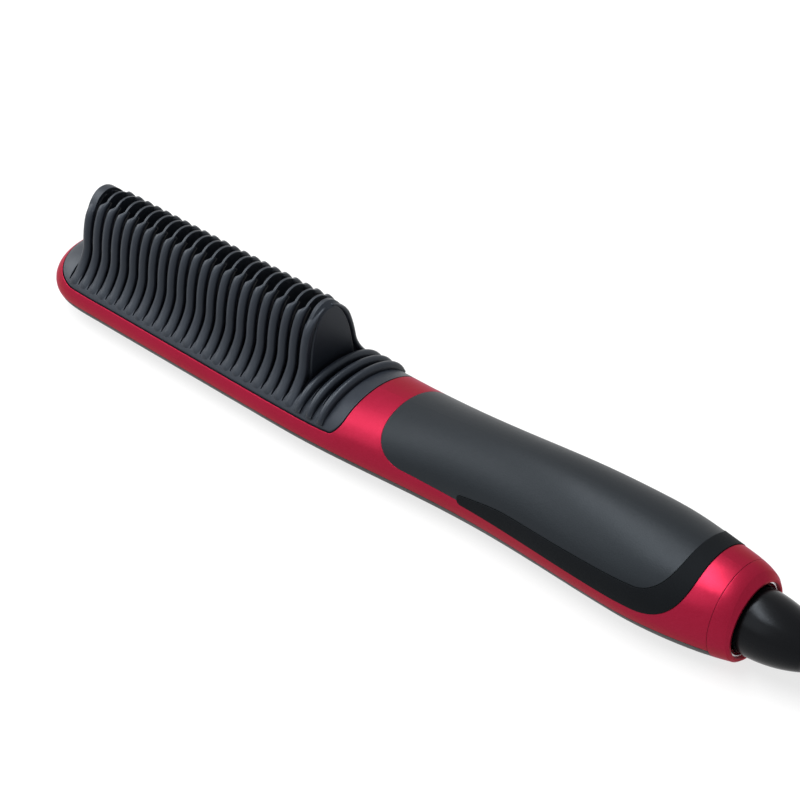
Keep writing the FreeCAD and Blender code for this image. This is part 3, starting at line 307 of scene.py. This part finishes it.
# stations down the fin's side: place across and up, lift over the fin,
# reach to the tip side and to the cord side
def ribStations(look):
    stations = []
    steps = look["steps"]
    for i in range(steps + 1):
        z = look["topZ"] - (look["topZ"] - look["flareZ"]) * (i / steps) ** look["crowding"]
        part = (z - look["baseZ"]) / look["height"]
        y = look["halfWidth"] * (1 - part ** look["topPower"]) ** (1 / look["sidePower"])
        grown = easeIn((look["topZ"] - z) / (look["topZ"] - look["taperZ"]))
        lift = look["topLift"] + (look["crown"] - look["topLift"]) * grown
        left = look["plate"] + (look["left"] - look["plate"]) * grown
        stations.append((Vector((y, z)), lift, left, look["right"]))
    skirt = [Vector((y, look["skirtZ"] + look["skirtHeight"] * math.sqrt(1 - (y / look["skirtHalf"]) ** 2)))
             for y in look["toeY"]]
    start, bend = stations[-1][0], Vector(look["bend"])
    full = look["left"] + look["right"]
    for i in range(1, steps + 1):
        t = i / steps
        place = start * (1 - t) ** 2 + bend * 2 * t * (1 - t) + skirt[0] * t * t
        lift = look["crown"] + (look["toeLifts"][0] - look["crown"]) * easeIn(t)
        spare = (look["toeWidths"][0] - full) / 2 * t * t
        stations.append((place, lift, look["left"] + spare, look["right"] + spare))
    for place, lift, width in zip(skirt[1:], look["toeLifts"][1:], look["toeWidths"][1:]):
        spare = (width - full) / 2
        stations.append((place, lift, look["left"] + spare, look["right"] + spare))
    return stations


# one frame for each station: across the rib, out of the surface, along the rib
def sweepFrames(stations, depth, x):
    places = [station[0] for station in stations]
    frames = []
    for i, (place, lift, left, right) in enumerate(stations):
        along = (places[min(i + 1, len(places) - 1)] - places[max(i - 1, 0)]).normalized()
        out = Vector((-along.y, along.x))
        foot = place - out * depth
        tall = depth + lift
        frames.append(Matrix(((left + right, 0, 0, x + (right - left) / 2), (0, out.x * tall, along.x, foot.x),
                              (0, out.y * tall, along.y, foot.y), (0, 0, 0, 1))))
    return frames


# one rib: a section with its outer corners rounded, pulled from station to station
def sweepRib(bm, look, frames):
    before = set(bm.verts)
    corners = bmesh.ops.create_grid(bm, x_segments=1, y_segments=1, size=0.5)["verts"]
    bmesh.ops.translate(bm, verts=corners, vec=(0, 0.5, 0))
    bmesh.ops.bevel(bm, geom=[v for v in corners if v.co.y > 0.5], offset=look["rounding"],
                    segments=look["segments"], profile=0.5, affect="VERTICES", material=-1)
    section = [v for v in bm.verts if v not in before]
    face = section[0].link_faces[0]
    bmesh.ops.transform(bm, matrix=frames[0], verts=section)
    for here, there in zip(frames, frames[1:]):
        moved = bmesh.ops.extrude_face_region(bm, geom=[face])["geom"]
        if here is not frames[0]:  # only the two end faces stay
            bmesh.ops.delete(bm, geom=[face], context="FACES_ONLY")
        face = next(part for part in moved if isinstance(part, bmesh.types.BMFace))
        bmesh.ops.transform(bm, matrix=there @ here.inverted(), verts=face.verts[:])
    return [v for v in bm.verts if v not in before]


# the swept ribs of one kind as a piece of the comb
def combPiece(name, bm):
    bmesh.ops.recalc_face_normals(bm, faces=bm.faces[:])
    for face in bm.faces:
        face.smooth = True
    piece = meshObject(name, bm)
    coat(piece, made["combPlastic"])
    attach(piece, "housing")


def roundRibs(look):
    bm = bmesh.new()
    firstX, lastX = look["firstX"], look["firstX"] + (look["fins"] - 1) * look["pitch"]
    for kind, x in (("first", firstX), ("last", lastX)):
        own = {**look, **look[kind]}
        sweepRib(bm, own, sweepFrames(ribStations(own), own["depth"], x))
    middle = sweepRib(bm, look, sweepFrames(ribStations(look), look["depth"], firstX + look["pitch"]))
    middle += list({e for v in middle for e in v.link_edges}) + list({f for v in middle for f in v.link_faces})
    for i in range(1, look["fins"] - 2):
        copy = bmesh.ops.duplicate(bm, geom=middle)["geom"]
        bmesh.ops.translate(bm, verts=[v for v in copy if isinstance(v, bmesh.types.BMVert)],
                            vec=(i * look["pitch"], 0, 0))
    bmesh.ops.mirror(bm, geom=bm.verts[:] + bm.edges[:] + bm.faces[:], axis="Y", merge_dist=0.0)
    combPiece("sideRibs", bm)


roundRibs(ribLook)
print("side ribs rounded")

# round crowns on the low ribs across the neck, behind the end plate
neckLook = {
    "count": 3, "firstX": -0.013525, "pitch": 0.0046, "half": 0.0015, "footHalf": 0.0011, "reach": 0.0187,
    "skirtHalf": 0.0200, "skirtHeight": 0.0119, "ribZ": 0.0122, "lift": 0.00130, "fall": 6, "sink": 0.00010,
    "depth": 0.0020, "rounding": 0.49, "segments": 5, "steps": 44,
}


def neckStations(look):
    stations = []
    for i in range(look["steps"] + 1):
        y = look["reach"] * (2 * i / look["steps"] - 1)
        z = look["ribZ"] + look["skirtHeight"] * math.sqrt(1 - (y / look["skirtHalf"]) ** 2)
        foot = (y / look["reach"]) ** look["fall"]
        half = look["half"] + (look["footHalf"] - look["half"]) * foot
        stations.append((Vector((y, z)), look["lift"] * (1 - foot) - look["sink"], half, half))
    return stations


def crownNeck(look):
    bm = bmesh.new()
    for i in range(look["count"]):
        sweepRib(bm, look, sweepFrames(neckStations(look), look["depth"], look["firstX"] + i * look["pitch"]))
    combPiece("neckRibs", bm)


crownNeck(neckLook)
print("neck ribs crowned")

# stage, light and camera
stageLook = {"size": 8.0, "floor": grey(0.90), "glow": 0.74, "near": 0.5, "far": 2.0, "world": 0.30}


def lightPath(wire):
    camera = wire.make("ShaderNodeLightPath", out="Is Camera Ray")
    glossy = wire.make("ShaderNodeLightPath", out="Is Glossy Ray")
    through = wire.make("ShaderNodeLightPath", out="Is Transmission Ray")
    return wire.maths("MINIMUM", camera + glossy + through, 1.0)


def layFloor(look):
    bm = bmesh.new()
    bmesh.ops.create_grid(bm, x_segments=1, y_segments=1, size=look["size"])
    floor = meshObject("paleFloor", bm)
    material = bpy.data.materials.new("paleFloor")
    wire = freshWire(material)
    matt = wire.make("ShaderNodeBsdfDiffuse", None, {"Color": look["floor"]})
    glow = wire.make("ShaderNodeEmission", None, {"Color": grey(1.0), "Strength": 1.0})
    place = wire.make("ShaderNodeTexCoord", out="Object")
    away = wire.make("ShaderNodeVectorMath", {"operation": "LENGTH"}, {0: place}, out="Value")
    level = stretch(wire, away, look["near"], look["far"], look["glow"], 1.0)  # far off it runs into the backdrop
    face = wire.make("ShaderNodeMixShader", None, {0: lightPath(wire) * level, 1: matt, 2: glow})
    clear = wire.make("ShaderNodeBsdfTransparent")
    under = wire.make("ShaderNodeNewGeometry", out="Backfacing")  # open from below, to see the back of the part
    both = wire.make("ShaderNodeMixShader", None, {0: under, 1: face, 2: clear})
    wire.make("ShaderNodeOutputMaterial", None, {"Surface": both})
    coat(floor, material)


def lightWorld(look):
    world = bpy.data.worlds.new("studio")
    wire = freshWire(world)
    seen = lightPath(wire)
    level = seen + (1 - seen) * look["world"]
    sky = wire.make("ShaderNodeBackground", None, {"Color": grey(1.0), "Strength": level})
    wire.make("ShaderNodeOutputWorld", None, {"Surface": sky})
    scene.world = world


lamps = {
    "overheadBox": {"place": (-0.25, -0.10, 1.10), "aim": (-0.02, 0, 0.02), "size": (1.3, 0.20), "watts": 18},
    "nearFill": {"place": (-0.45, -1.05, 0.75), "aim": (0, 0, 0.02), "size": (1.2, 0.8), "watts": 5},
    "tipFill": {"place": (-1.10, -0.30, 0.70), "aim": (-0.05, 0, 0.02), "size": (0.8, 0.8), "watts": 12},
}


def hangLamp(name, look):
    light = bpy.data.lights.new(name, "AREA")
    light.shape = "RECTANGLE"
    light.size, light.size_y = look["size"]
    light.energy = look["watts"]
    lamp = addObject(name, light)
    lamp.location = look["place"]
    view = Vector(look["aim"]) - Vector(look["place"])
    lamp.rotation_euler = view.to_track_quat("-Z", "Y").to_euler()


cameraLook = {"place": (0.321275, -0.3175, 0.3516), "right": (0.7273, 0.6860, -0.0223),
              "down": (0.3957, -0.4456, -0.8030), "lens": 84.6, "sensor": 36.0, "near": 0.01}


def setCamera(look):
    camera = addObject("photoCamera", bpy.data.cameras.new("photoCamera"))
    camera.data.lens = look["lens"]
    camera.data.sensor_width = look["sensor"]
    camera.data.clip_start = look["near"]
    right = Vector(look["right"]).normalized()
    up = -Vector(look["down"])
    up = (up - right * up.dot(right)).normalized()
    turn = Matrix((right, up, right.cross(up))).transposed().to_4x4()
    camera.matrix_world = Matrix.Translation(look["place"]) @ turn
    scene.camera = camera


layFloor(stageLook)
lightWorld(stageLook)
for name, look in lamps.items():
    hangLamp(name, look)
setCamera(cameraLook)
scene.view_settings.view_transform = "Standard"
print("stage, lamps and camera set")
